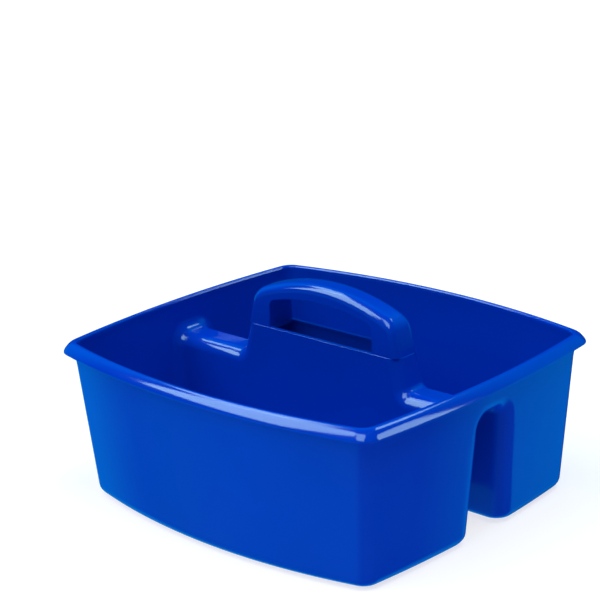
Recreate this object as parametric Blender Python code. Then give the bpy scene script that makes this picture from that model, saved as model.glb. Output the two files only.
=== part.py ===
"""Divided cleaning caddy with a raised centre handle, built as nine named regions of one moulding.

X runs along the handle, Y from the front bin to the rear bin, Z up; the floor is at z = 0.
"""
import math

import bmesh
import bpy

COLLECTION_NAME = "cleaning_caddy"
CUTTER_COLLECTION_NAME = "cleaning_caddy_cutters"

# Outline of the rim, seen from above
HALF_LENGTH = 0.165
HALF_DEPTH = 0.1482
LONG_SIDE_BOW = 0.0193
SHORT_SIDE_BOW = 0.0089
CORNER_RADIUS = 0.015

# Walls and floor
WALL = 0.0024
BASE_INSET_X = 0.0176
BASE_INSET_Y = 0.0137
TOP_INSET = 0.0061
WALL_TOP_Z = 0.118
FLOOR_EDGE_RADIUS = 0.009
BASE_BOW_LOSS = 0.002

# Rolled rim, as distance in from the outermost edge and height
RIM_OUTSIDE = (
    (0.0059, 0.1205), (0.0054, 0.1219), (0.0043, 0.1221), (0.0031, 0.1207),
    (0.0019, 0.1188), (0.0008, 0.1182), (0.0000, 0.1189),
)
RIM_TOP = (
    (0.0008, 0.1212), (0.0022, 0.1237), (0.0041, 0.1257), (0.0060, 0.1266), (0.0074, 0.1260),
    (0.0082, 0.1243), (0.0085, 0.1215),
)

# Hollow divider between the bins
DIVIDER_Y = 0.0099
DIVIDER_HALF_AT_BASE = 0.0205
DIVIDER_HALF_AT_LEDGE = 0.0144
SADDLE_Z = 0.0993
SADDLE_EDGE_RADIUS = 0.008
END_FILLET = 0.0096
MOUTH_FILLET = 0.0120

# Tower under the handle
LEDGE_Z = 0.1245
TOWER_HALF_LENGTH = 0.0770
TOWER_LEAN = 0.255
TOWER_CORNER = 0.008
TOWER_FOOT_FILLET = 0.0045

# Handle
HANDLE_INSET = 0.0015
HANDLE_LEAN = 0.195
CROWN_Z = 0.1662
GRIP_ARC_RADIUS = 0.170
SHOULDER_RADIUS = 0.013
LEG_EDGE_RADIUS = 0.006
GRIP_EDGE_RADIUS = 0.0055
WINDOW_HALF = 0.0520
WINDOW_TOP_Z = 0.1530
WINDOW_ARC_RADIUS = 0.185
WINDOW_CORNER = 0.005

# Seams between the named regions
SEAM_GAP = 0.0003
RIM_SEAM_Z = 0.1150
DIVIDER_SEAM_Z = 0.082
PANEL_HALF = 0.0300
SADDLE_SEAM_X = 0.0960
GRIP_SEAM_X = 0.0480

BLUE = (0.010, 0.050, 0.450, 1.0)


def clear_scene():
    for item in list(bpy.data.objects):
        bpy.data.objects.remove(item, do_unlink=True)


def make_collection(name):
    collection = bpy.data.collections.new(name)
    bpy.context.scene.collection.children.link(collection)
    return collection


def mesh_object(name, vertices, faces, collection):
    mesh = bpy.data.meshes.new(name)
    mesh.from_pydata(vertices, [], faces)
    shape = bmesh.new()
    shape.from_mesh(mesh)
    bmesh.ops.recalc_face_normals(shape, faces=shape.faces)
    shape.to_mesh(mesh)
    shape.free()
    item = bpy.data.objects.new(name, mesh)
    collection.objects.link(item)
    return item


def loft(name, rings, collection, ladder=False):
    """Join equal-length closed rings with quads; a ladder cap joins each point to its mirror."""
    count = len(rings[0])
    vertices = [point for ring in rings for point in ring]
    faces = []
    for level in range(len(rings) - 1):
        low = level * count
        high = low + count
        for i in range(count):
            j = (i + 1) % count
            faces.append((low + i, low + j, high + j, high + i))
    top = (len(rings) - 1) * count
    for start in (0, top):
        cap = list(range(start, start + count))
        if ladder:
            faces += [(cap[i], cap[i + 1], cap[-2 - i], cap[-1 - i]) for i in range(count // 2 - 1)]
        else:
            faces.append(tuple(cap))
    return mesh_object(name, vertices, faces, collection)


def corner_centre(half_x, half_y, bow_x, bow_y, radius):
    """Centre of the corner circle that touches both bowed sides from inside."""
    flat_x = half_x - bow_y
    flat_y = half_y - bow_x
    long_radius = (flat_x ** 2 + bow_x ** 2) / (2 * bow_x)
    short_radius = (flat_y ** 2 + bow_y ** 2) / (2 * bow_y)
    long_centre = (0.0, half_y - long_radius)
    short_centre = (half_x - short_radius, 0.0)
    reach_long = long_radius - radius
    reach_short = short_radius - radius
    dx = short_centre[0] - long_centre[0]
    dy = short_centre[1] - long_centre[1]
    gap = math.hypot(dx, dy)
    along = (reach_long ** 2 - reach_short ** 2 + gap ** 2) / (2 * gap)
    across = math.sqrt(reach_long ** 2 - along ** 2)
    base_x = long_centre[0] + along * dx / gap
    base_y = long_centre[1] + along * dy / gap
    centre = (base_x + across * dy / gap, base_y - across * dx / gap)
    return centre, long_centre, short_centre, long_radius, short_radius


def outline(half_x, half_y, bow_x, bow_y, radius, z):
    """Closed ring of a rounded rectangle whose sides bow outward; bow_x is the long sides' bow."""
    centre, long_centre, short_centre, long_radius, short_radius = corner_centre(
        half_x, half_y, bow_x, bow_y, radius)
    short_angle = math.atan2(centre[1] - short_centre[1], centre[0] - short_centre[0])
    long_angle = math.atan2(centre[1] - long_centre[1], centre[0] - long_centre[0])
    quarter = []
    for i in range(5):
        angle = short_angle * i / 4
        quarter.append((short_centre[0] + short_radius * math.cos(angle), short_radius * math.sin(angle)))
    for i in range(1, 6):
        angle = short_angle + (long_angle - short_angle) * i / 5
        quarter.append((centre[0] + radius * math.cos(angle), centre[1] + radius * math.sin(angle)))
    for i in range(1, 8):
        angle = long_angle + (math.pi / 2 - long_angle) * i / 7
        quarter.append((long_radius * math.cos(angle), long_centre[1] + long_radius * math.sin(angle)))
    half = quarter + [(-x, y) for x, y in reversed(quarter[:-1])]
    ring = half + [(x, -y) for x, y in reversed(half[1:-1])]
    return [(x, y, z) for x, y in ring]


def wall_inset(z):
    """Distance from the rim's outermost edge in to the wall's outer face at height z, for X and Y."""
    part = min(max(z / WALL_TOP_Z, 0.0), 1.0)
    inset_x = BASE_INSET_X + (TOP_INSET - BASE_INSET_X) * part
    inset_y = BASE_INSET_Y + (TOP_INSET - BASE_INSET_Y) * part
    return inset_x, inset_y


def wall_ring(z, extra, radius):
    inset_x, inset_y = wall_inset(z)
    loss = BASE_BOW_LOSS * (1 - min(max(z / WALL_TOP_Z, 0.0), 1.0))
    return outline(HALF_LENGTH - inset_x - extra, HALF_DEPTH - inset_y - extra,
                   LONG_SIDE_BOW - 0.2 * loss, SHORT_SIDE_BOW - loss, radius, z)


def rim_ring(inset, z):
    radius = max(CORNER_RADIUS - 0.5 * inset, 0.006)
    return outline(HALF_LENGTH - inset, HALF_DEPTH - inset, LONG_SIDE_BOW, SHORT_SIDE_BOW, radius, z)


def tub_rings():
    """Rings from the middle of the underside, up the outside, over the rim and down to the floor."""
    rings = []
    for i in range(4):
        turn = math.radians(90 * i / 3)
        inset = FLOOR_EDGE_RADIUS * (1 - math.sin(turn))
        height = FLOOR_EDGE_RADIUS * (1 - math.cos(turn))
        rings.append(wall_ring(height, inset, CORNER_RADIUS - inset))
    for z in (0.045, 0.085, WALL_TOP_Z):
        rings.append(wall_ring(z, 0.0, CORNER_RADIUS))
    for inset, z in RIM_OUTSIDE:
        rings.append(rim_ring(inset, z))
    for inset, z in RIM_TOP:
        rings.append(rim_ring(inset, z))
    inner_radius = FLOOR_EDGE_RADIUS - WALL
    for z in (WALL_TOP_Z, 0.085, 0.045):
        rings.append(wall_ring(z, WALL, CORNER_RADIUS - WALL))
    for i in range(4):
        turn = math.radians(90 * (3 - i) / 3)
        inset = inner_radius * (1 - math.sin(turn))
        height = WALL + inner_radius * (1 - math.cos(turn))
        rings.append(wall_ring(height, WALL + inset, CORNER_RADIUS - WALL - inset))
    return rings


def divider_half(z):
    return DIVIDER_HALF_AT_BASE + (DIVIDER_HALF_AT_LEDGE - DIVIDER_HALF_AT_BASE) * z / LEDGE_Z


def end_wall_x(y, z, inward):
    """X of the end wall's face, inward of the outer face, following the rounded bottom edge."""
    flat = HALF_DEPTH - LONG_SIDE_BOW
    bend = (flat ** 2 + SHORT_SIDE_BOW ** 2) / (2 * SHORT_SIDE_BOW)
    inset = BASE_INSET_X + (TOP_INSET - BASE_INSET_X) * z / WALL_TOP_Z
    radius = FLOOR_EDGE_RADIUS - inward
    rise = min(max(z - inward, 0.0), radius)
    edge = radius - math.sqrt(radius ** 2 - (radius - rise) ** 2)
    return HALF_LENGTH - inset - inward - edge - y ** 2 / (2 * bend)


def divider_profile(inward, grow, floor_z, floor_radius, flare):
    """Half of the divider's cross-section as (half width, height), from the floor to the middle line."""
    top = SADDLE_Z - inward + grow
    radius = SADDLE_EDGE_RADIUS - inward + grow
    points = [(divider_half(0.0) - inward + grow + floor_radius, floor_z - flare)]
    for i in range(4):
        turn = math.radians(90 * i / 3)
        z = floor_z + floor_radius * (1 - math.cos(turn))
        side = floor_radius * (1 - math.sin(turn))
        points.append((divider_half(z) - inward + grow + side, z))
    for i in range(6):
        turn = math.radians(90 * i / 5)
        z = top - radius + radius * math.sin(turn)
        half = divider_half(top - radius) - inward + grow - radius + radius * math.cos(turn)
        points.append((half, z))
    return points


def mirrored_section(profile, x_of):
    left = [(-half, z) for half, z in profile]
    right = [(half, z) for half, z in reversed(profile)]
    return [(x_of(y + DIVIDER_Y, z), y + DIVIDER_Y, z) for y, z in left + right]


def end_stations(fillet, outer, past):
    """(distance back from the face, growth) pairs for a fillet of a long section against the end wall."""
    stations = []
    for i in range(5):
        turn = math.radians(90 * i / 4)
        stations.append((fillet * (1 - math.sin(turn)), fillet * (1 - math.cos(turn))))
    stations.append((-past, fillet + outer))
    return stations


def long_loft(name, inward, floor_z, floor_radius, flare, face_depth, fillet, outer, past, collection):
    """Loft the divider's section along X, growing into both end walls."""
    stations = end_stations(fillet, outer, past)
    rings = []
    for sign, order in ((-1, list(reversed(stations))), (1, stations)):
        for back, grow in order:
            profile = divider_profile(inward, grow, floor_z, floor_radius, flare)
            bend = 0.0 if back < 0 else 1.0
            rings.append(mirrored_section(
                profile, lambda y, z: sign * (end_wall_x(y * bend, z, face_depth) - back)))
    return loft(name, rings, collection, ladder=True)


def rounded_rectangle(half_x, half_y, radius, z):
    ring = []
    for quadrant in range(4):
        sign_x = (1, -1, -1, 1)[quadrant]
        sign_y = (1, 1, -1, -1)[quadrant]
        for i in range(6):
            turn = math.radians(90 * quadrant + 90 * i / 5)
            x = sign_x * (half_x - radius) + radius * math.cos(turn)
            y = sign_y * (half_y - radius) + radius * math.sin(turn)
            ring.append((x, y + DIVIDER_Y, z))
    return ring


def tower_ring(z, inward):
    foot = SADDLE_Z - inward
    fillet = TOWER_FOOT_FILLET + inward
    rise = min(max(z - foot, 0.0), fillet)
    flare = fillet - math.sqrt(fillet ** 2 - (fillet - rise) ** 2)
    half_x = TOWER_HALF_LENGTH + (LEDGE_Z - max(z, foot)) * TOWER_LEAN + flare - inward
    half_y = divider_half(z) - inward - 0.00002
    return rounded_rectangle(half_x, half_y, TOWER_CORNER - inward, z)


def tower_loft(name, inward, low_z, top_z, collection):
    foot = SADDLE_Z - inward
    levels = [low_z] + [foot + step for step in (0.0, 0.0006, 0.0016, 0.0032)]
    levels += [foot + TOWER_FOOT_FILLET + inward, top_z]
    return loft(name, [tower_ring(z, inward) for z in levels], collection)


def handle_half_length(z):
    return TOWER_HALF_LENGTH - HANDLE_INSET - (z - LEDGE_Z) * HANDLE_LEAN


def arch_z(x, crown, radius):
    return crown - radius + math.sqrt(radius ** 2 - x ** 2)


def shoulder_points(crown, arc_radius, inward):
    """Points of the right half of the handle's outline from the leg up round the shoulder."""
    x = handle_half_length(LEDGE_Z) - inward
    z = LEDGE_Z
    while arch_z(x, crown, arc_radius) > z:
        z += 0.0002
        x = handle_half_length(z) - inward
    corner = (x, z)
    reach = SHOULDER_RADIUS * 0.72
    low = (handle_half_length(z - reach) - inward, z - reach)
    far_x = x - reach
    far = (far_x, arch_z(far_x, crown, arc_radius))
    points = []
    for i in range(6):
        t = i / 5
        px = (1 - t) ** 2 * low[0] + 2 * t * (1 - t) * corner[0] + t ** 2 * far[0]
        pz = (1 - t) ** 2 * low[1] + 2 * t * (1 - t) * corner[1] + t ** 2 * far[1]
        points.append((px, pz))
    return points


def handle_outline(inward, low_z):
    """Closed outline in the X-Z plane with the edge radius wanted at each point."""
    crown = CROWN_Z - inward
    arc_radius = GRIP_ARC_RADIUS - inward
    shoulder = shoulder_points(crown, arc_radius, inward)
    right = [(handle_half_length(low_z) - inward, low_z, LEG_EDGE_RADIUS)]
    right += [(x, z, LEG_EDGE_RADIUS) for x, z in shoulder[:2]]
    right += [(x, z, GRIP_EDGE_RADIUS + 0.0005) for x, z in shoulder[2:4]]
    right += [(x, z, GRIP_EDGE_RADIUS) for x, z in shoulder[4:]]
    start = shoulder[-1][0]
    for i in range(1, 7):
        x = start * (1 - i / 6)
        right.append((x, arch_z(x, crown, arc_radius), GRIP_EDGE_RADIUS))
    left = [(-x, z, edge) for x, z, edge in reversed(right[:-1])]
    return [(x, z, edge - inward) for x, z, edge in right + left]


def inward_normals(points):
    """Unit normals of a counter-clockwise outline, pointing inside; the two feet stay level."""
    count = len(points)
    normals = []
    for i in range(count):
        x0, z0 = points[i - 1][:2]
        x1, z1 = points[(i + 1) % count][:2]
        if i == 0:
            x0, z0 = points[0][:2]
        if i == count - 1:
            x1, z1 = points[-1][:2]
        length = math.hypot(x1 - x0, z1 - z0)
        normals.append((-(z1 - z0) / length, (x1 - x0) / length))
    return normals


def handle_loft(name, inward, low_z, collection):
    """Arched block with rounded edges, lofted from its front face to its rear face."""
    points = handle_outline(inward, low_z)
    normals = inward_normals(points)
    turns = [math.radians(angle) for angle in (90, 60, 30, 0)]
    rings = []
    for side, order in ((-1, turns), (1, list(reversed(turns)))):
        for turn in order:
            ring = []
            for (x, z, edge), (nx, nz) in zip(points, normals):
                shift = edge * (1 - math.cos(turn))
                level = z + nz * shift
                half = divider_half(level) - HANDLE_INSET - inward - edge * (1 - math.sin(turn))
                ring.append((x + nx * shift, DIVIDER_Y + side * half, level))
            rings.append(ring)
    return loft(name, rings, collection)


def window_cutter(collection):
    low_z = LEDGE_Z - 0.002
    edge_z = arch_z(WINDOW_HALF, WINDOW_TOP_Z, WINDOW_ARC_RADIUS)
    right = [(WINDOW_HALF, low_z), (WINDOW_HALF, edge_z - WINDOW_CORNER)]
    far_x = WINDOW_HALF - WINDOW_CORNER
    far_z = arch_z(far_x, WINDOW_TOP_Z, WINDOW_ARC_RADIUS)
    for i in (1, 2, 3):
        t = i / 3
        x = (1 - t) ** 2 * WINDOW_HALF + 2 * t * (1 - t) * WINDOW_HALF + t ** 2 * far_x
        z = (1 - t) ** 2 * (edge_z - WINDOW_CORNER) + 2 * t * (1 - t) * edge_z + t ** 2 * far_z
        right.append((x, z))
    for i in range(1, 6):
        x = far_x * (1 - i / 5)
        right.append((x, arch_z(x, WINDOW_TOP_Z, WINDOW_ARC_RADIUS)))
    points = right + [(-x, z) for x, z in reversed(right[:-1])]
    rings = [[(x, DIVIDER_Y + y, z) for x, z in points] for y in (-0.025, 0.025)]
    return loft("window_cutter", rings, collection)


def end_wall_slab(name, sign, collection):
    """Closes the inner end of a hollow leg, beside the hand opening."""
    near = sign * (WINDOW_HALF - 0.001)
    far = sign * (WINDOW_HALF + WALL)
    low = DIVIDER_Y - 0.03
    high = DIVIDER_Y + 0.03
    rings = [[(x, low, z), (x, high, z), (x, high, z + 0.08), (x, low, z + 0.08)]
             for x, z in ((near, LEDGE_Z - 0.02), (far, LEDGE_Z - 0.02))]
    return loft(name, rings, collection)


def prism_along_x(name, points, x_low, x_high, collection):
    rings = [[(x, y, z) for y, z in points] for x in (x_low, x_high)]
    return loft(name, rings, collection)


def boolean(item, operand, operation):
    modifier = item.modifiers.new(operand.name, "BOOLEAN")
    modifier.operation = operation
    modifier.solver = "EXACT"
    modifier.object = operand


def hide_cutter(item):
    item.hide_render = True
    item.display_type = "WIRE"


def material(name):
    blue = bpy.data.materials.new(name + "_plastic")
    blue.use_nodes = True
    shader = blue.node_tree.nodes["Principled BSDF"]
    shader.inputs["Base Color"].default_value = BLUE
    shader.inputs["Roughness"].default_value = 0.25
    return blue


def add_region(name, points, x_low, x_high, moulding, collection):
    """A named part: the stretch of the moulding inside a prism that runs along X."""
    region = prism_along_x(name, points, x_low, x_high, collection)
    region.data.materials.append(material(name))
    boolean(region, moulding, "INTERSECT")


def rectangle(y_low, y_high, z_low, z_high):
    return [(y_low, z_low), (y_high, z_low), (y_high, z_high), (y_low, z_high)]


def build_mouldings(cutters):
    """The tub, the tower and the handle as whole solids, before they are divided into regions."""
    tub = loft("tub_moulding", tub_rings(), cutters)
    divider = long_loft("divider_solid", 0.0, 0.0023, 0.006, 0.0011,
                        WALL, END_FILLET, 0.0, 0.0012, cutters)
    groove = long_loft("groove_cutter", WALL, 0.0, FLOOR_EDGE_RADIUS, 0.004,
                       0.0, MOUTH_FILLET, 0.0001, 0.006, cutters)
    tower = tower_loft("tower_moulding", 0.0, 0.0855, LEDGE_Z, cutters)
    tower_hollow = tower_loft("tower_hollow_cutter", WALL, 0.0700, LEDGE_Z - WALL, cutters)
    handle = handle_loft("handle_moulding", 0.0, LEDGE_Z - 0.004, cutters)
    handle_hollow = handle_loft("handle_hollow_cutter", WALL, LEDGE_Z - 0.008, cutters)
    window = window_cutter(cutters)
    for name, sign in (("left_end_wall", -1), ("right_end_wall", 1)):
        boolean(handle_hollow, end_wall_slab(name, sign, cutters), "DIFFERENCE")
    boolean(tub, divider, "UNION")
    boolean(tub, groove, "DIFFERENCE")
    boolean(tower, divider, "UNION")
    boolean(tower, groove, "DIFFERENCE")
    boolean(tower, tower_hollow, "DIFFERENCE")
    boolean(tower, handle_hollow, "DIFFERENCE")
    boolean(handle, handle_hollow, "DIFFERENCE")
    boolean(handle, window, "DIFFERENCE")
    for item in cutters.objects:
        hide_cutter(item)
    return tub, tower, handle


def build_regions(tub, tower, handle, parts):
    gap = SEAM_GAP / 2
    seam = DIVIDER_SEAM_Z
    bin_top = RIM_SEAM_Z - gap
    near = DIVIDER_Y - PANEL_HALF - gap
    far = DIVIDER_Y + PANEL_HALF + gap
    front = [(-0.20, -0.01), (DIVIDER_Y - 0.001, -0.01), (DIVIDER_Y - 0.001, seam - gap),
             (near, seam - gap), (near, bin_top), (-0.20, bin_top)]
    rear = [(0.20, -0.01), (0.20, bin_top), (far, bin_top),
            (far, seam - gap), (DIVIDER_Y + 0.001, seam - gap), (DIVIDER_Y + 0.001, -0.01)]
    middle = rectangle(near + 2 * gap, far - 2 * gap, seam + gap, bin_top)
    tower_box = rectangle(near + 2 * gap, far - 2 * gap, seam + gap, LEDGE_Z + 0.001)
    handle_box = rectangle(near, far, LEDGE_Z + SEAM_GAP, CROWN_Z + 0.01)
    ring = rectangle(-0.20, 0.20, RIM_SEAM_Z + gap, 0.15)
    wide = HALF_LENGTH + 0.02
    split = SADDLE_SEAM_X
    grip = GRIP_SEAM_X
    add_region("front_bin", front, -wide, wide, tub, parts)
    add_region("rear_bin", rear, -wide, wide, tub, parts)
    add_region("rim", ring, -wide, wide, tub, parts)
    add_region("left_saddle", middle, -wide, -split - gap, tub, parts)
    add_region("right_saddle", middle, split + gap, wide, tub, parts)
    add_region("divider_tower", tower_box, -split + gap, split - gap, tower, parts)
    add_region("left_handle_leg", handle_box, -wide, -grip - gap, handle, parts)
    add_region("right_handle_leg", handle_box, grip + gap, wide, handle, parts)
    add_region("handle_grip", handle_box, -grip + gap, grip - gap, handle, parts)


def main():
    clear_scene()
    parts = make_collection(COLLECTION_NAME)
    cutters = make_collection(CUTTER_COLLECTION_NAME)
    tub, tower, handle = build_mouldings(cutters)
    build_regions(tub, tower, handle, parts)


main()
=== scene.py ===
import math

import bmesh
import bpy
from mathutils import Matrix, Vector


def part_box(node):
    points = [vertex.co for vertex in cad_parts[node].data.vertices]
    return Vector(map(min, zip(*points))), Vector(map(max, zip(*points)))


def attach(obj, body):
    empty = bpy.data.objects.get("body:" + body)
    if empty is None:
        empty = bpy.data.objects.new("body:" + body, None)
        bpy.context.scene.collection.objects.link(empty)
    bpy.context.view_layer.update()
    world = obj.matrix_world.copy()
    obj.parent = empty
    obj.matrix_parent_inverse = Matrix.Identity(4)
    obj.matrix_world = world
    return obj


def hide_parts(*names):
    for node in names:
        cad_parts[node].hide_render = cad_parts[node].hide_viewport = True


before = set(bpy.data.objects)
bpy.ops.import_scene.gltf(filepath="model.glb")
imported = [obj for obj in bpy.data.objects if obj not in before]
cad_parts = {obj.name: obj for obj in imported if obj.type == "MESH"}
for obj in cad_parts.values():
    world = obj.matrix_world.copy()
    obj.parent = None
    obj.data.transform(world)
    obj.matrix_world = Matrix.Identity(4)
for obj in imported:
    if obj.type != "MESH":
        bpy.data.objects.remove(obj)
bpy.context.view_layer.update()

# Overall sizes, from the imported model
TUB_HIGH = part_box("rim")[1]
HALF_LENGTH = TUB_HIGH.x
HALF_DEPTH = TUB_HIGH.y
RIM_TOP_Z = TUB_HIGH.z
CROWN_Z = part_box("handle_grip")[1].z
TOWER_LOW, TOWER_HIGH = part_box("divider_tower")
DIVIDER_Y = (TOWER_LOW.y + TOWER_HIGH.y) / 2
LEDGE_Z = TOWER_HIGH.z

# Outline of the rim, seen from above
LONG_SIDE_BOW = 0.0193
SHORT_SIDE_BOW = 0.0089
CORNER_RADIUS = 0.015

# Walls and floor
WALL = 0.0024
BASE_INSET_X = 0.0176
BASE_INSET_Y = 0.0137
TOP_INSET = 0.0061
WALL_TOP_Z = 0.118
FLOOR_EDGE_RADIUS = 0.009
BASE_BOW_LOSS = 0.002
LONG_SIDE_LOSS_SHARE = 0.2

# Rolled rim, as distance in from the outermost edge and height below the crest
RIM_PROFILE = (
    (0.0060, -0.0076), (0.0059, -0.0061), (0.0054, -0.0047), (0.0043, -0.0045), (0.0031, -0.0059),
    (0.0019, -0.0078), (0.0010, -0.0085), (0.0002, -0.0082), (0.0000, -0.0073), (0.0004, -0.0061),
    (0.0014, -0.0043), (0.0028, -0.0023), (0.0044, -0.0008), (0.0060, 0.0000), (0.0074, -0.0003),
    (0.0082, -0.0012), (0.0085, -0.0030), (0.0086, -0.0070),
)
RIM_STEPS = 3
RIM_CORNER_SHRINK = 0.5
SMALLEST_RIM_CORNER = 0.006

# Hollow divider between the bins; each foot is its floor height, fillet radius and drop at the edge
DIVIDER_HALF_AT_BASE = 0.0205
DIVIDER_HALF_AT_LEDGE = 0.0144
SADDLE_Z = 0.0993
SADDLE_EDGE_RADIUS = 0.0105
END_FILLET = 0.0096
MOUTH_FILLET = 0.0120
BIN_FOOT = (0.0023, 0.006, 0.0011)
GROOVE_FOOT = (0.0, FLOOR_EDGE_RADIUS, 0.004)

# Tower under the handle
TOWER_HALF_LENGTH = 0.0770
TOWER_LEAN = 0.255
TOWER_FOOT_FILLET = 0.0055
LEDGE_BEVEL = 0.0002
LEDGE_EDGE_ANGLE = 50

# Handle; the roots are how far the handle, its hollow and its window start below the ledge
HANDLE_ROOT = 0.004
HOLLOW_ROOT = 0.008
WINDOW_ROOT = 0.002
HANDLE_INSET = 0.0010
HANDLE_LEAN = 0.235
GRIP_ARC_RADIUS = 0.170
SHOULDER_REACH = 0.0085
LEG_EDGE_RADIUS = 0.005
GRIP_EDGE_RADIUS = 0.0072
WINDOW_HALF = 0.0520
WINDOW_TOP_Z = 0.1530
WINDOW_ARC_RADIUS = 0.185
WINDOW_CORNER = 0.005
WINDOW_EDGE = 0.0009
WINDOW_OVERSHOOT = 0.006

# Slab that closes the inner end of each hollow leg
SLAB_OVERLAP = 0.001
SLAB_HALF_DEPTH = 0.03
SLAB_DROP = 0.02
SLAB_RISE = 0.06

# Lines that divide the moulding into its named regions
RIM_SEAM_Z = 0.1150
DIVIDER_SEAM_Z = 0.082
PANEL_HALF = 0.0300
SADDLE_SEAM_X = 0.0960
GRIP_SEAM_X = 0.0480

# How far the prisms that cut out the regions reach past the object
REACH_Y = 0.20
REACH_LOW_Z = -0.01
REACH_HIGH_Z = 0.15
REACH_PAST_END = 0.02

# Plastic
DEEPER_BLUE = (0.0, 0.037, 0.46, 1.0)
LIGHTER_BLUE = (0.0, 0.043, 0.51, 1.0)
LEAST_ROUGHNESS = 0.08
MOST_ROUGHNESS = 0.11

# Camera, about a target
CAMERA_AZIMUTH = 43.464
CAMERA_ELEVATION = 18.039
CAMERA_ROLL = 2.452
CAMERA_TARGET = (-0.20734, 0.19598, 0.06362)
CAMERA_DISTANCE = 1.74240
CAMERA_LENS = 114.5

# Light; the bands are pairs of how nearly a ray points in a direction, and brightness
SUN_STRENGTH = 2.15
FILL_STRENGTH = 1.5
FLOOR_SIZE = 30.0
FLOOR_Z = -0.0005
FLOOR_SHADE = 0.35
FLOOR_GLOW = 0.72
WORLD_COLOUR = (0.0, 0.5, 1.0)
WORLD_STRENGTH = 1.3
REAR_LEFT = (-0.57, 0.82, 0.0)
REAR_LEFT_BANDS = ((0.16, 0.04), (0.34, 1.0), (0.58, 1.0), (0.82, 0.10))
LOW_FRONT = (-0.40, -0.75, -0.53)
LOW_FRONT_BANDS = ((0.75, 0.0), (0.90, 0.6))
SOFTBOX_COLOUR = (0.62, 1.0, 0.93)
LIGHT_DISTANCE = 6.0
LIGHT_TARGET = (0.0, 0.0, 0.1)

# Number of steps in each stretch
SIDE_STEPS = 20
CORNER_STEPS = 14
FILLET_STEPS = 8
EDGE_STEPS = 10
LEG_STEPS = 4
SHOULDER_STEPS = 12
GRIP_STEPS = 20
WINDOW_CORNER_STEPS = 8
WINDOW_ARC_STEPS = 12
WINDOW_EDGE_STEPS = 4
WALL_LEVELS = (0.030, 0.060, 0.090, 0.108)
LEDGE_STATIONS = (0.0, 0.02, 0.04, 0.06)
TOWER_FACE_PARTS = (2.0, 1.75, 1.5, 1.25)
BISECTIONS = 40
SHARP_ANGLE = 38


# ---------------------------------------------------------------- meshes

def mesh_object(name, vertices, faces):
    mesh = bpy.data.meshes.new(name)
    mesh.from_pydata(vertices, [], faces)
    shape = bmesh.new()
    shape.from_mesh(mesh)
    bmesh.ops.remove_doubles(shape, verts=shape.verts, dist=1e-6)
    bmesh.ops.recalc_face_normals(shape, faces=shape.faces)
    shape.to_mesh(mesh)
    shape.free()
    item = bpy.data.objects.new(name, mesh)
    bpy.context.scene.collection.objects.link(item)
    return item


def loft(name, rings, ladder=False):
    """Join equal-length closed rings with quads; a ladder cap joins each point to its mirror."""
    count = len(rings[0])
    vertices = [point for ring in rings for point in ring]
    faces = []
    for level in range(len(rings) - 1):
        low = level * count
        high = low + count
        for i in range(count):
            j = (i + 1) % count
            faces.append((low + i, low + j, high + j, high + i))
    top = (len(rings) - 1) * count
    for start in (0, top):
        cap = list(range(start, start + count))
        if ladder:
            faces += [(cap[i], cap[i + 1], cap[-2 - i], cap[-1 - i])
                      for i in range(count // 2 - 1)]
        else:
            faces.append(tuple(cap))
    return mesh_object(name, vertices, faces)


def boolean(item, operand, operation):
    modifier = item.modifiers.new(operand.name, "BOOLEAN")
    modifier.operation = operation
    modifier.solver = "EXACT"
    modifier.object = operand


def finished_mesh(item):
    """The item's mesh with its modifiers applied."""
    graph = bpy.context.evaluated_depsgraph_get()
    return bpy.data.meshes.new_from_object(item.evaluated_get(graph))


def spline(points, steps):
    """Catmull-Rom curve through the points."""
    result = []
    last = len(points) - 1
    for i in range(last):
        before = points[max(i - 1, 0)]
        start = points[i]
        end = points[i + 1]
        after = points[min(i + 2, last)]
        for k in range(steps):
            t = k / steps
            result.append(tuple(
                0.5 * (2 * b + (c - a) * t + (2 * a - 5 * b + 4 * c - d) * t ** 2
                       + (3 * b - a - 3 * c + d) * t ** 3)
                for a, b, c, d in zip(before, start, end, after)))
    result.append(points[-1])
    return result


# ---------------------------------------------------------------- tub

def corner_centre(half_x, half_y, bow_x, bow_y, radius):
    """Centre of the corner circle that touches both bowed sides from inside."""
    flat_x = half_x - bow_y
    flat_y = half_y - bow_x
    long_radius = (flat_x ** 2 + bow_x ** 2) / (2 * bow_x)
    short_radius = (flat_y ** 2 + bow_y ** 2) / (2 * bow_y)
    long_centre = (0.0, half_y - long_radius)
    short_centre = (half_x - short_radius, 0.0)
    reach_long = long_radius - radius
    reach_short = short_radius - radius
    dx = short_centre[0] - long_centre[0]
    dy = short_centre[1] - long_centre[1]
    gap = math.hypot(dx, dy)
    along = (reach_long ** 2 - reach_short ** 2 + gap ** 2) / (2 * gap)
    across = math.sqrt(reach_long ** 2 - along ** 2)
    base_x = long_centre[0] + along * dx / gap
    base_y = long_centre[1] + along * dy / gap
    centre = (base_x + across * dy / gap, base_y - across * dx / gap)
    return centre, long_centre, short_centre, long_radius, short_radius


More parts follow.
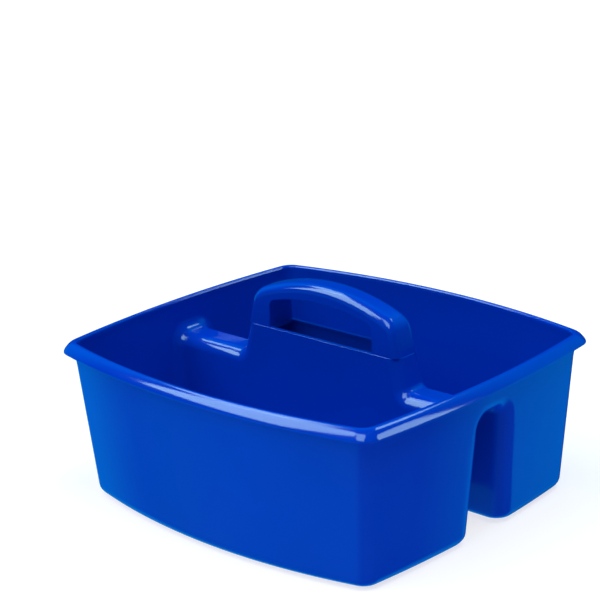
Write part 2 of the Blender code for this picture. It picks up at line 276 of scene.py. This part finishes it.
def outline(half_x, half_y, bow_x, bow_y, radius, z):
    """Closed ring of a rounded rectangle whose sides bow outward; bow_x is the long sides' bow."""
    centre, long_centre, short_centre, long_radius, short_radius = corner_centre(
        half_x, half_y, bow_x, bow_y, radius)
    short_angle = math.atan2(centre[1] - short_centre[1], centre[0] - short_centre[0])
    long_angle = math.atan2(centre[1] - long_centre[1], centre[0] - long_centre[0])
    quarter = []
    for i in range(SIDE_STEPS):
        angle = short_angle * i / SIDE_STEPS
        quarter.append((short_centre[0] + short_radius * math.cos(angle),
                        short_radius * math.sin(angle)))
    for i in range(CORNER_STEPS):
        angle = short_angle + (long_angle - short_angle) * i / CORNER_STEPS
        quarter.append((centre[0] + radius * math.cos(angle),
                        centre[1] + radius * math.sin(angle)))
    for i in range(SIDE_STEPS + 1):
        angle = long_angle + (math.pi / 2 - long_angle) * i / SIDE_STEPS
        quarter.append((long_radius * math.cos(angle),
                        long_centre[1] + long_radius * math.sin(angle)))
    half = quarter + [(-x, y) for x, y in reversed(quarter[:-1])]
    ring = half + [(x, -y) for x, y in reversed(half[1:-1])]
    return [(x, y, z) for x, y in ring]


def wall_ring(z, extra, radius):
    """Ring at a height on the leaning wall, moved inward from the outer face by the extra."""
    part = min(max(z / WALL_TOP_Z, 0.0), 1.0)
    inset_x = BASE_INSET_X + (TOP_INSET - BASE_INSET_X) * part
    inset_y = BASE_INSET_Y + (TOP_INSET - BASE_INSET_Y) * part
    loss = BASE_BOW_LOSS * (1 - part)
    return outline(HALF_LENGTH - inset_x - extra, HALF_DEPTH - inset_y - extra,
                   LONG_SIDE_BOW - LONG_SIDE_LOSS_SHARE * loss, SHORT_SIDE_BOW - loss, radius, z)


def rim_ring(inset, drop):
    radius = max(CORNER_RADIUS - RIM_CORNER_SHRINK * inset, SMALLEST_RIM_CORNER)
    return outline(HALF_LENGTH - inset, HALF_DEPTH - inset, LONG_SIDE_BOW, SHORT_SIDE_BOW,
                   radius, RIM_TOP_Z + drop)


def tub_rings():
    """Rings from the underside, up the outside, over the rim and down the inside to the floor."""
    rings = []
    for i in range(FILLET_STEPS + 1):
        turn = math.radians(90 * i / FILLET_STEPS)
        inset = FLOOR_EDGE_RADIUS * (1 - math.sin(turn))
        height = FLOOR_EDGE_RADIUS * (1 - math.cos(turn))
        rings.append(wall_ring(height, inset, CORNER_RADIUS - inset))
    for z in WALL_LEVELS:
        rings.append(wall_ring(z, 0.0, CORNER_RADIUS))
    for inset, drop in spline(RIM_PROFILE, RIM_STEPS):
        rings.append(rim_ring(inset, drop))
    inner_radius = FLOOR_EDGE_RADIUS - WALL
    for z in reversed(WALL_LEVELS):
        rings.append(wall_ring(z, WALL, CORNER_RADIUS - WALL))
    for i in range(FILLET_STEPS + 1):
        turn = math.radians(90 * (FILLET_STEPS - i) / FILLET_STEPS)
        inset = inner_radius * (1 - math.sin(turn))
        height = WALL + inner_radius * (1 - math.cos(turn))
        rings.append(wall_ring(height, WALL + inset, CORNER_RADIUS - WALL - inset))
    return rings


# ---------------------------------------------------------------- divider and tower

def divider_half(z):
    return DIVIDER_HALF_AT_BASE + (DIVIDER_HALF_AT_LEDGE - DIVIDER_HALF_AT_BASE) * z / LEDGE_Z


def end_wall_x(y, z, inward):
    """X of the end wall's face, inward of the outer face, following the rounded bottom edge."""
    flat = HALF_DEPTH - LONG_SIDE_BOW
    bend = (flat ** 2 + SHORT_SIDE_BOW ** 2) / (2 * SHORT_SIDE_BOW)
    inset = BASE_INSET_X + (TOP_INSET - BASE_INSET_X) * z / WALL_TOP_Z
    radius = FLOOR_EDGE_RADIUS - inward
    rise = min(max(z - inward, 0.0), radius)
    edge = radius - math.sqrt(radius ** 2 - (radius - rise) ** 2)
    return HALF_LENGTH - inset - inward - edge - y ** 2 / (2 * bend)


def foot_profile(inward, grow, floor):
    """Half width and height of the divider's foot, where it meets the floor of a bin."""
    floor_z, floor_radius, flare = floor
    points = [(divider_half(0.0) - inward + grow + floor_radius, floor_z - flare)]
    for i in range(FILLET_STEPS + 1):
        turn = math.radians(90 * i / FILLET_STEPS)
        z = floor_z + floor_radius * (1 - math.cos(turn))
        side = floor_radius * (1 - math.sin(turn))
        points.append((divider_half(z) - inward + grow + side, z))
    return points


def edge_turns():
    return [math.radians(90 * i / EDGE_STEPS) for i in range(EDGE_STEPS + 1)]


def saddle_profile(inward, grow, floor):
    """Half width and height from the floor, up the side and round the edge to the flat top."""
    top = SADDLE_Z - inward + grow
    radius = SADDLE_EDGE_RADIUS - inward + grow
    points = foot_profile(inward, grow, floor)
    for turn in edge_turns():
        z = top - radius + radius * math.sin(turn)
        half = divider_half(top - radius) - inward + grow - radius + radius * math.cos(turn)
        points.append((half, z))
    return points


def tower_point(inward, shift, part):
    """X and Z on the tower's end: part 0 to 1 is the foot's fillet and 1 to 2 the leaning face."""
    slope = math.hypot(1.0, TOWER_LEAN)
    centre_z = SADDLE_Z + TOWER_FOOT_FILLET
    centre_x = TOWER_HALF_LENGTH + (LEDGE_Z - centre_z) * TOWER_LEAN + TOWER_FOOT_FILLET * slope
    reach = TOWER_FOOT_FILLET + inward + shift
    turn = min(part, 1.0) * (math.pi / 2 - math.atan(TOWER_LEAN))
    x = centre_x - reach * math.sin(turn)
    z = centre_z - reach * math.cos(turn)
    if part > 1.0:
        top_z = LEDGE_Z - inward
        top_x = TOWER_HALF_LENGTH + inward * TOWER_LEAN - (inward + shift) * slope
        x += (top_x - x) * (part - 1.0)
        z += (top_z - z) * (part - 1.0)
    return x, z


def section_ring(side):
    """Closed ring from one side's points, given as x, half width and height from the floor up."""
    front = [(x, DIVIDER_Y - half, z) for x, half, z in side]
    rear = [(x, DIVIDER_Y + half, z) for x, half, z in reversed(side)]
    return front + rear


def tower_sections(inward, floor):
    """Rings from the middle of the ledge, down the tower's end and on to the saddle."""
    radius = SADDLE_EDGE_RADIUS - inward
    rings = []
    for x in LEDGE_STATIONS:
        side = [(x, half, z) for half, z in foot_profile(inward, 0.0, floor)]
        for turn in edge_turns():
            half = divider_half(LEDGE_Z) - inward - radius * (1 - math.cos(turn))
            side.append((x, half, LEDGE_Z - inward))
        rings.append(section_ring(side))
    parts = list(TOWER_FACE_PARTS) + [1 - i / FILLET_STEPS for i in range(FILLET_STEPS + 1)]
    for part in parts:
        low_x = tower_point(inward, radius, part)[0]
        side = [(low_x, half, z) for half, z in foot_profile(inward, 0.0, floor)]
        for turn in edge_turns():
            x, z = tower_point(inward, radius * (1 - math.sin(turn)), part)
            half = divider_half(z) - inward - radius * (1 - math.cos(turn))
            side.append((x, half, z))
        rings.append(section_ring(side))
    return rings


def end_sections(inward, floor, face_depth, fillet, outer, past):
    """Rings from the saddle out through the end wall, growing in a fillet as they meet it.

    The fillet ends at face_depth inside the wall's outer face; the last ring stands past that
    face by the amount past, and is larger by the amount outer.
    """
    rings = []
    stations = []
    for i in range(FILLET_STEPS + 1):
        turn = math.radians(90 * i / FILLET_STEPS)
        stations.append((fillet * (1 - math.sin(turn)), fillet * (1 - math.cos(turn)), 1.0))
    stations.append((-past, fillet + outer, 0.0))
    for back, grow, bend in stations:
        side = []
        for half, z in saddle_profile(inward, grow, floor):
            side.append((half, z, back, bend))
        ring = []
        for sign, order in ((-1, side), (1, list(reversed(side)))):
            for half, z, depth, bow in order:
                y = DIVIDER_Y + sign * half
                ring.append((end_wall_x(y * bow, z, face_depth) - depth, y, z))
        rings.append(ring)
    return rings


def divider_loft(name, inward, floor, face_depth, fillet, outer, past):
    right = tower_sections(inward, floor)
    right += end_sections(inward, floor, face_depth, fillet, outer, past)
    left = [[(-x, y, z) for x, y, z in ring] for ring in right[1:]]
    return loft(name, list(reversed(left)) + right, ladder=True)


def round_ledge(item):
    """A small rounding along the outer edge of the ledge."""
    shape = bmesh.new()
    shape.from_mesh(item.data)
    edges = [edge for edge in shape.edges
             if all(abs(corner.co.z - LEDGE_Z) < 1e-5 for corner in edge.verts)
             and edge.calc_face_angle(0.0) > math.radians(LEDGE_EDGE_ANGLE)]
    bmesh.ops.bevel(shape, geom=edges, offset=LEDGE_BEVEL, segments=3, profile=0.5,
                    affect="EDGES", clamp_overlap=False)
    shape.to_mesh(item.data)
    shape.free()


# ---------------------------------------------------------------- handle

def handle_half_length(z):
    return TOWER_HALF_LENGTH - HANDLE_INSET - (z - LEDGE_Z) * HANDLE_LEAN


def arch_z(x, crown, radius):
    return crown - radius + math.sqrt(radius ** 2 - x ** 2)


def shoulder_corner(crown, arc_radius, inward):
    """Where the leg's straight edge would meet the grip's arc."""
    low = LEDGE_Z
    high = crown
    for _ in range(BISECTIONS):
        z = (low + high) / 2
        if arch_z(handle_half_length(z) - inward, crown, arc_radius) > z:
            low = z
        else:
            high = z
    return handle_half_length(low) - inward, low


def handle_outline(inward, low_z):
    """Closed outline in the X-Z plane with the edge radius wanted at each point."""
    crown = CROWN_Z - inward
    arc_radius = GRIP_ARC_RADIUS - inward
    x, z = shoulder_corner(crown, arc_radius, inward)
    start_z = z - SHOULDER_REACH
    start = (handle_half_length(start_z) - inward, start_z)
    end_x = x - SHOULDER_REACH
    end = (end_x, arch_z(end_x, crown, arc_radius))
    right = []
    for i in range(LEG_STEPS):
        level = low_z + (start_z - low_z) * i / LEG_STEPS
        right.append((handle_half_length(level) - inward, level, LEG_EDGE_RADIUS))
    for i in range(SHOULDER_STEPS + 1):
        t = i / SHOULDER_STEPS
        blend = t * t * (3 - 2 * t)
        edge = LEG_EDGE_RADIUS + (GRIP_EDGE_RADIUS - LEG_EDGE_RADIUS) * blend
        px = (1 - t) ** 2 * start[0] + 2 * t * (1 - t) * x + t ** 2 * end[0]
        pz = (1 - t) ** 2 * start[1] + 2 * t * (1 - t) * z + t ** 2 * end[1]
        right.append((px, pz, edge))
    for i in range(1, GRIP_STEPS + 1):
        px = end_x * (1 - i / GRIP_STEPS)
        right.append((px, arch_z(px, crown, arc_radius), GRIP_EDGE_RADIUS))
    left = [(-px, pz, edge) for px, pz, edge in reversed(right[:-1])]
    return [(px, pz, edge - inward) for px, pz, edge in right + left]


def inward_normals(points):
    """Unit normals of a counter-clockwise outline, pointing inside; the two feet stay level."""
    count = len(points)
    normals = []
    for i in range(count):
        x0, z0 = points[max(i - 1, 0)][:2]
        x1, z1 = points[min(i + 1, count - 1)][:2]
        length = math.hypot(x1 - x0, z1 - z0)
        normals.append((-(z1 - z0) / length, (x1 - x0) / length))
    return normals


def handle_loft(name, inward, low_z):
    """Arched block with rounded edges, lofted from its front face to its rear face."""
    points = handle_outline(inward, low_z)
    normals = inward_normals(points)
    turns = list(reversed(edge_turns()))
    rings = []
    for side, order in ((-1, turns), (1, list(reversed(turns)))):
        for turn in order:
            ring = []
            for (x, z, edge), (nx, nz) in zip(points, normals):
                shift = edge * (1 - math.cos(turn))
                level = z + nz * shift
                half = divider_half(level) - HANDLE_INSET - inward - edge * (1 - math.sin(turn))
                ring.append((x + nx * shift, DIVIDER_Y + side * half, level))
            rings.append(ring)
    return loft(name, rings)


def window_outline(grow):
    """Closed outline of the hand opening in the X-Z plane."""
    half = WINDOW_HALF + grow
    top = WINDOW_TOP_Z + grow
    radius = WINDOW_ARC_RADIUS + grow
    corner = WINDOW_CORNER + grow
    edge_z = arch_z(half, top, radius)
    far_x = half - corner
    far_z = arch_z(far_x, top, radius)
    right = [(half, LEDGE_Z - WINDOW_ROOT)]
    for i in range(WINDOW_CORNER_STEPS + 1):
        t = i / WINDOW_CORNER_STEPS
        x = (1 - t) ** 2 * half + 2 * t * (1 - t) * half + t ** 2 * far_x
        z = (1 - t) ** 2 * (edge_z - corner) + 2 * t * (1 - t) * edge_z + t ** 2 * far_z
        right.append((x, z))
    for i in range(1, WINDOW_ARC_STEPS + 1):
        x = far_x * (1 - i / WINDOW_ARC_STEPS)
        right.append((x, arch_z(x, top, radius)))
    return right + [(-x, z) for x, z in reversed(right[:-1])]


def window_cutter():
    """Cuts the hand opening through front and rear, with a small rounding at each outer face."""
    stations = []
    for i in range(WINDOW_EDGE_STEPS + 1):
        turn = math.radians(90 * i / WINDOW_EDGE_STEPS)
        stations.append((WINDOW_EDGE * (1 - math.sin(turn)), WINDOW_EDGE * (1 - math.cos(turn))))
    stations.append((-WINDOW_OVERSHOOT, WINDOW_EDGE + 0.0001))
    rings = []
    for sign, order in ((-1, list(reversed(stations))), (1, stations)):
        for depth, grow in order:
            ring = []
            for x, z in window_outline(grow):
                face = divider_half(z) - HANDLE_INSET
                ring.append((x, DIVIDER_Y + sign * (face - depth), z))
            rings.append(ring)
    return loft("window_cutter", rings)


# ---------------------------------------------------------------- regions

def prism_along_x(name, points, x_low, x_high):
    return loft(name, [[(x, y, z) for y, z in points] for x in (x_low, x_high)])


def rectangle(y_low, y_high, z_low, z_high):
    return [(y_low, z_low), (y_high, z_low), (y_high, z_high), (y_low, z_high)]


def end_wall_slab(name, sign):
    """Closes the inner end of a hollow leg, beside the hand opening."""
    near = sign * (WINDOW_HALF - SLAB_OVERLAP)
    far = sign * (WINDOW_HALF + WALL)
    points = rectangle(DIVIDER_Y - SLAB_HALF_DEPTH, DIVIDER_Y + SLAB_HALF_DEPTH,
                       LEDGE_Z - SLAB_DROP, LEDGE_Z + SLAB_RISE)
    return prism_along_x(name, points, near, far)


def build_mouldings():
    """The tub, the tower and the handle as whole solids, before they are divided into regions."""
    plain_tub = loft("plain_tub", tub_rings())
    tub = loft("tub_moulding", tub_rings())
    divider = divider_loft("divider_solid", 0.0, BIN_FOOT, WALL, END_FILLET,
                           outer=0.0, past=0.0012)
    groove = divider_loft("groove_cutter", WALL, GROOVE_FOOT, 0.0, MOUTH_FILLET,
                          outer=0.0001, past=0.006)
    handle = handle_loft("handle_moulding", 0.0, LEDGE_Z - HANDLE_ROOT)
    handle_hollow = handle_loft("handle_hollow_cutter", WALL, LEDGE_Z - HOLLOW_ROOT)
    window = window_cutter()
    slabs = [end_wall_slab("left_end_wall", -1), end_wall_slab("right_end_wall", 1)]
    for slab in slabs:
        boolean(handle_hollow, slab, "DIFFERENCE")
    round_ledge(divider)
    boolean(tub, divider, "UNION")
    boolean(tub, groove, "DIFFERENCE")
    boolean(divider, groove, "DIFFERENCE")
    boolean(divider, handle_hollow, "DIFFERENCE")
    boolean(handle, handle_hollow, "DIFFERENCE")
    boolean(handle, window, "DIFFERENCE")
    return plain_tub, tub, divider, handle, (groove, handle_hollow, window, *slabs)


def region(name, points, x_low, x_high, moulding):
    """The stretch of a moulding inside a prism that runs along X, as a closed piece."""
    item = prism_along_x(name + "_skin", points, x_low, x_high)
    boolean(item, moulding, "INTERSECT")
    return item


def shade(item):
    """Smooth shading that keeps the edges sharper than SHARP_ANGLE."""
    item.data.shade_smooth()
    item.data.set_sharp_from_angle(angle=math.radians(SHARP_ANGLE))
    weighted = item.modifiers.new("weighted_normals", "WEIGHTED_NORMAL")
    weighted.keep_sharp = True


def build_pieces():
    plain_tub, tub, divider, handle, cutters = build_mouldings()
    near = DIVIDER_Y - PANEL_HALF
    far = DIVIDER_Y + PANEL_HALF
    seam = DIVIDER_SEAM_Z
    top = RIM_SEAM_Z
    front = [(-REACH_Y, REACH_LOW_Z), (DIVIDER_Y, REACH_LOW_Z), (DIVIDER_Y, seam),
             (near, seam), (near, top), (-REACH_Y, top)]
    rear = [(REACH_Y, REACH_LOW_Z), (REACH_Y, top), (far, top),
            (far, seam), (DIVIDER_Y, seam), (DIVIDER_Y, REACH_LOW_Z)]
    middle = rectangle(near, far, seam, top)
    tower = rectangle(near, far, seam, LEDGE_Z + 0.001)
    arch = rectangle(near, far, LEDGE_Z, CROWN_Z + 0.01)
    ring = rectangle(-REACH_Y, REACH_Y, top, REACH_HIGH_Z)
    wide = HALF_LENGTH + REACH_PAST_END
    rows = (
        ("front_bin", front, -wide, wide, tub),
        ("rear_bin", rear, -wide, wide, tub),
        ("rim", ring, -wide, wide, plain_tub),
        ("left_saddle", middle, -wide, -SADDLE_SEAM_X, tub),
        ("right_saddle", middle, SADDLE_SEAM_X, wide, tub),
        ("divider_tower", tower, -SADDLE_SEAM_X, SADDLE_SEAM_X, divider),
        ("left_handle_leg", arch, -wide, -GRIP_SEAM_X, handle),
        ("right_handle_leg", arch, GRIP_SEAM_X, wide, handle),
        ("handle_grip", arch, -GRIP_SEAM_X, GRIP_SEAM_X, handle),
    )
    pieces = [(name, region(name, *row)) for name, *row in rows]
    meshes = [finished_mesh(item) for name, item in pieces]
    for (name, item), mesh in zip(pieces, meshes):
        item.modifiers.clear()
        item.data = mesh
        shade(item)
        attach(item, "root")
        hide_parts(name)
    for item in (plain_tub, tub, divider, handle, *cutters):
        bpy.data.objects.remove(item, do_unlink=True)
    return [item for name, item in pieces]


# ---------------------------------------------------------------- material

def plastic_material():
    """Glossy blue plastic with a faint cloud in its tint, its gloss and its skin."""
    material = bpy.data.materials.new("moulded_blue_plastic")
    material.use_nodes = True
    nodes = material.node_tree.nodes
    links = material.node_tree.links
    shader = nodes["Principled BSDF"]
    shader.inputs["IOR"].default_value = 1.49
    shader.inputs["Specular IOR Level"].default_value = 0.35
    place = nodes.new("ShaderNodeTexCoord")

    cloud = nodes.new("ShaderNodeTexNoise")
    cloud.inputs["Scale"].default_value = 9.0
    cloud.inputs["Detail"].default_value = 3.0
    links.new(place.outputs["Object"], cloud.inputs["Vector"])
    tint = nodes.new("ShaderNodeValToRGB")
    tint.color_ramp.elements[0].position = 0.3
    tint.color_ramp.elements[0].color = DEEPER_BLUE
    tint.color_ramp.elements[1].position = 0.7
    tint.color_ramp.elements[1].color = LIGHTER_BLUE
    links.new(cloud.outputs["Fac"], tint.inputs["Fac"])
    links.new(tint.outputs["Color"], shader.inputs["Base Color"])

    smear = nodes.new("ShaderNodeTexNoise")
    smear.inputs["Scale"].default_value = 26.0
    smear.inputs["Detail"].default_value = 5.0
    links.new(place.outputs["Object"], smear.inputs["Vector"])
    gloss = nodes.new("ShaderNodeMapRange")
    gloss.inputs["From Min"].default_value = 0.3
    gloss.inputs["From Max"].default_value = 0.7
    gloss.inputs["To Min"].default_value = LEAST_ROUGHNESS
    gloss.inputs["To Max"].default_value = MOST_ROUGHNESS
    links.new(smear.outputs["Fac"], gloss.inputs["Value"])
    links.new(gloss.outputs["Result"], shader.inputs["Roughness"])

    skin = nodes.new("ShaderNodeTexNoise")
    skin.inputs["Scale"].default_value = 900.0
    skin.inputs["Detail"].default_value = 2.0
    links.new(place.outputs["Object"], skin.inputs["Vector"])
    bump = nodes.new("ShaderNodeBump")
    bump.inputs["Strength"].default_value = 0.03
    bump.inputs["Distance"].default_value = 0.0002
    links.new(skin.outputs["Fac"], bump.inputs["Height"])
    links.new(bump.outputs["Normal"], shader.inputs["Normal"])
    return material


def floor_material():
    material = bpy.data.materials.new("pale_floor")
    material.use_nodes = True
    shader = material.node_tree.nodes["Principled BSDF"]
    shader.inputs["Base Color"].default_value = (FLOOR_SHADE, FLOOR_SHADE, FLOOR_SHADE, 1.0)
    shader.inputs["Roughness"].default_value = 0.9
    shader.inputs["Specular IOR Level"].default_value = 0.1
    shader.inputs["Emission Color"].default_value = (1.0, 1.0, 1.0, 1.0)
    shader.inputs["Emission Strength"].default_value = FLOOR_GLOW
    return material


# ---------------------------------------------------------------- stage

def add_floor():
    """Pale, glowing floor under the object, hidden from reflections."""
    bpy.ops.mesh.primitive_plane_add(size=FLOOR_SIZE, location=(0.0, 0.0, FLOOR_Z))
    floor = bpy.context.object
    floor.name = "floor"
    floor.data.materials.append(floor_material())
    floor.visible_glossy = False


def add_softbox(name, azimuth, elevation, wide, tall, brightness):
    """A rectangular light seen only in reflections; its place and size are angles in degrees."""
    turn = math.radians(azimuth)
    rise = math.radians(elevation)
    way = Vector((math.cos(rise) * math.cos(turn),
                  math.cos(rise) * math.sin(turn), math.sin(rise)))
    data = bpy.data.lights.new(name, "AREA")
    data.shape = "RECTANGLE"
    data.size = 2 * LIGHT_DISTANCE * math.tan(math.radians(wide / 2))
    data.size_y = 2 * LIGHT_DISTANCE * math.tan(math.radians(tall / 2))
    data.energy = brightness * math.pi * data.size * data.size_y
    data.color = SOFTBOX_COLOUR
    light = bpy.data.objects.new(name, data)
    light.location = Vector(LIGHT_TARGET) + way * LIGHT_DISTANCE
    light.rotation_euler = way.to_track_quat("Z", "Y").to_euler()
    light.visible_diffuse = False
    bpy.context.scene.collection.objects.link(light)
    return light


def light_only(light, names):
    """Restrict a light to the named pieces."""
    group = bpy.data.collections.new("lit_by_" + light.name)
    for name in names:
        group.objects.link(bpy.data.objects[name])
    light.light_linking.receiver_collection = group


def add_sun(name, direction, strength, spread):
    """Soft, even light that is hidden from reflections, so that it leaves no highlight."""
    data = bpy.data.lights.new(name, "SUN")
    data.energy = strength
    data.angle = math.radians(spread)
    light = bpy.data.objects.new(name, data)
    light.rotation_euler = Vector(direction).to_track_quat("Z", "Y").to_euler()
    light.visible_glossy = False
    bpy.context.scene.collection.objects.link(light)


def add_bands(world, direction, bands):
    """Socket whose brightness depends on how nearly a ray points in a direction."""
    nodes = world.node_tree.nodes
    links = world.node_tree.links
    place = nodes.new("ShaderNodeTexCoord")
    side = nodes.new("ShaderNodeVectorMath")
    side.operation = "DOT_PRODUCT"
    side.inputs[1].default_value = direction
    links.new(place.outputs["Generated"], side.inputs[0])
    ramp = nodes.new("ShaderNodeValToRGB")
    for position, _ in bands[1:-1]:
        ramp.color_ramp.elements.new(position)
    for stop, (position, level) in zip(ramp.color_ramp.elements, bands):
        stop.position = position
        stop.color = (*(part * level for part in WORLD_COLOUR), 1.0)
    links.new(side.outputs["Value"], ramp.inputs["Fac"])
    return ramp.outputs["Color"]


def add_world():
    """Dark surroundings with a blue band in a ring about the rear left and a patch low in front."""
    world = bpy.data.worlds.new("studio")
    world.use_nodes = True
    nodes = world.node_tree.nodes
    links = world.node_tree.links
    total = nodes.new("ShaderNodeVectorMath")
    total.operation = "ADD"
    links.new(add_bands(world, REAR_LEFT, REAR_LEFT_BANDS), total.inputs[0])
    links.new(add_bands(world, LOW_FRONT, LOW_FRONT_BANDS), total.inputs[1])
    background = nodes["Background"]
    background.inputs["Strength"].default_value = WORLD_STRENGTH
    links.new(total.outputs["Vector"], background.inputs["Color"])
    bpy.context.scene.world = world


def add_lights():
    add_sun("overhead", (-0.3, -0.6, 1.0), SUN_STRENGTH, 60)
    add_sun("right_fill", (0.35, 0.0, 1.0), FILL_STRENGTH, 30)
    add_softbox("left_softbox", -132, 41, 30, 37, 10.0)
    add_softbox("upper_left_softbox", -168, 54, 21, 18, 8.0)
    add_softbox("front_softbox", -70, 52, 36, 31, 7.5)
    right_strip = add_softbox("right_strip", 34.5, 13, 14, 38, 8.0)
    light_only(right_strip, ("rim_skin", "front_bin_skin", "rear_bin_skin"))
    add_softbox("rear_softbox", 67, 50, 14, 9, 8.0)


def add_camera():
    """Camera by azimuth, elevation and roll, so that the object is seen from front right."""
    azimuth = math.radians(CAMERA_AZIMUTH)
    elevation = math.radians(CAMERA_ELEVATION)
    roll = math.radians(CAMERA_ROLL)
    back = Vector((math.sin(azimuth) * math.cos(elevation),
                   -math.cos(azimuth) * math.cos(elevation), math.sin(elevation)))
    level = Vector((math.cos(azimuth), math.sin(azimuth), 0.0))
    upright = back.cross(level)
    right = level * math.cos(roll) - upright * math.sin(roll)
    up = level * math.sin(roll) + upright * math.cos(roll)
    matrix = Matrix((right, up, back)).transposed().to_4x4()
    matrix.translation = Vector(CAMERA_TARGET) + back * CAMERA_DISTANCE
    data = bpy.data.cameras.new("camera")
    data.sensor_width = 36.0
    data.lens = CAMERA_LENS
    camera = bpy.data.objects.new("camera", data)
    camera.matrix_world = matrix
    bpy.context.scene.collection.objects.link(camera)
    bpy.context.scene.camera = camera


add_camera()
plastic = plastic_material()
for piece in build_pieces():
    piece.data.materials.clear()
    piece.data.materials.append(plastic)
add_floor()
add_world()
add_lights()
bpy.context.scene.view_settings.view_transform = "Standard"
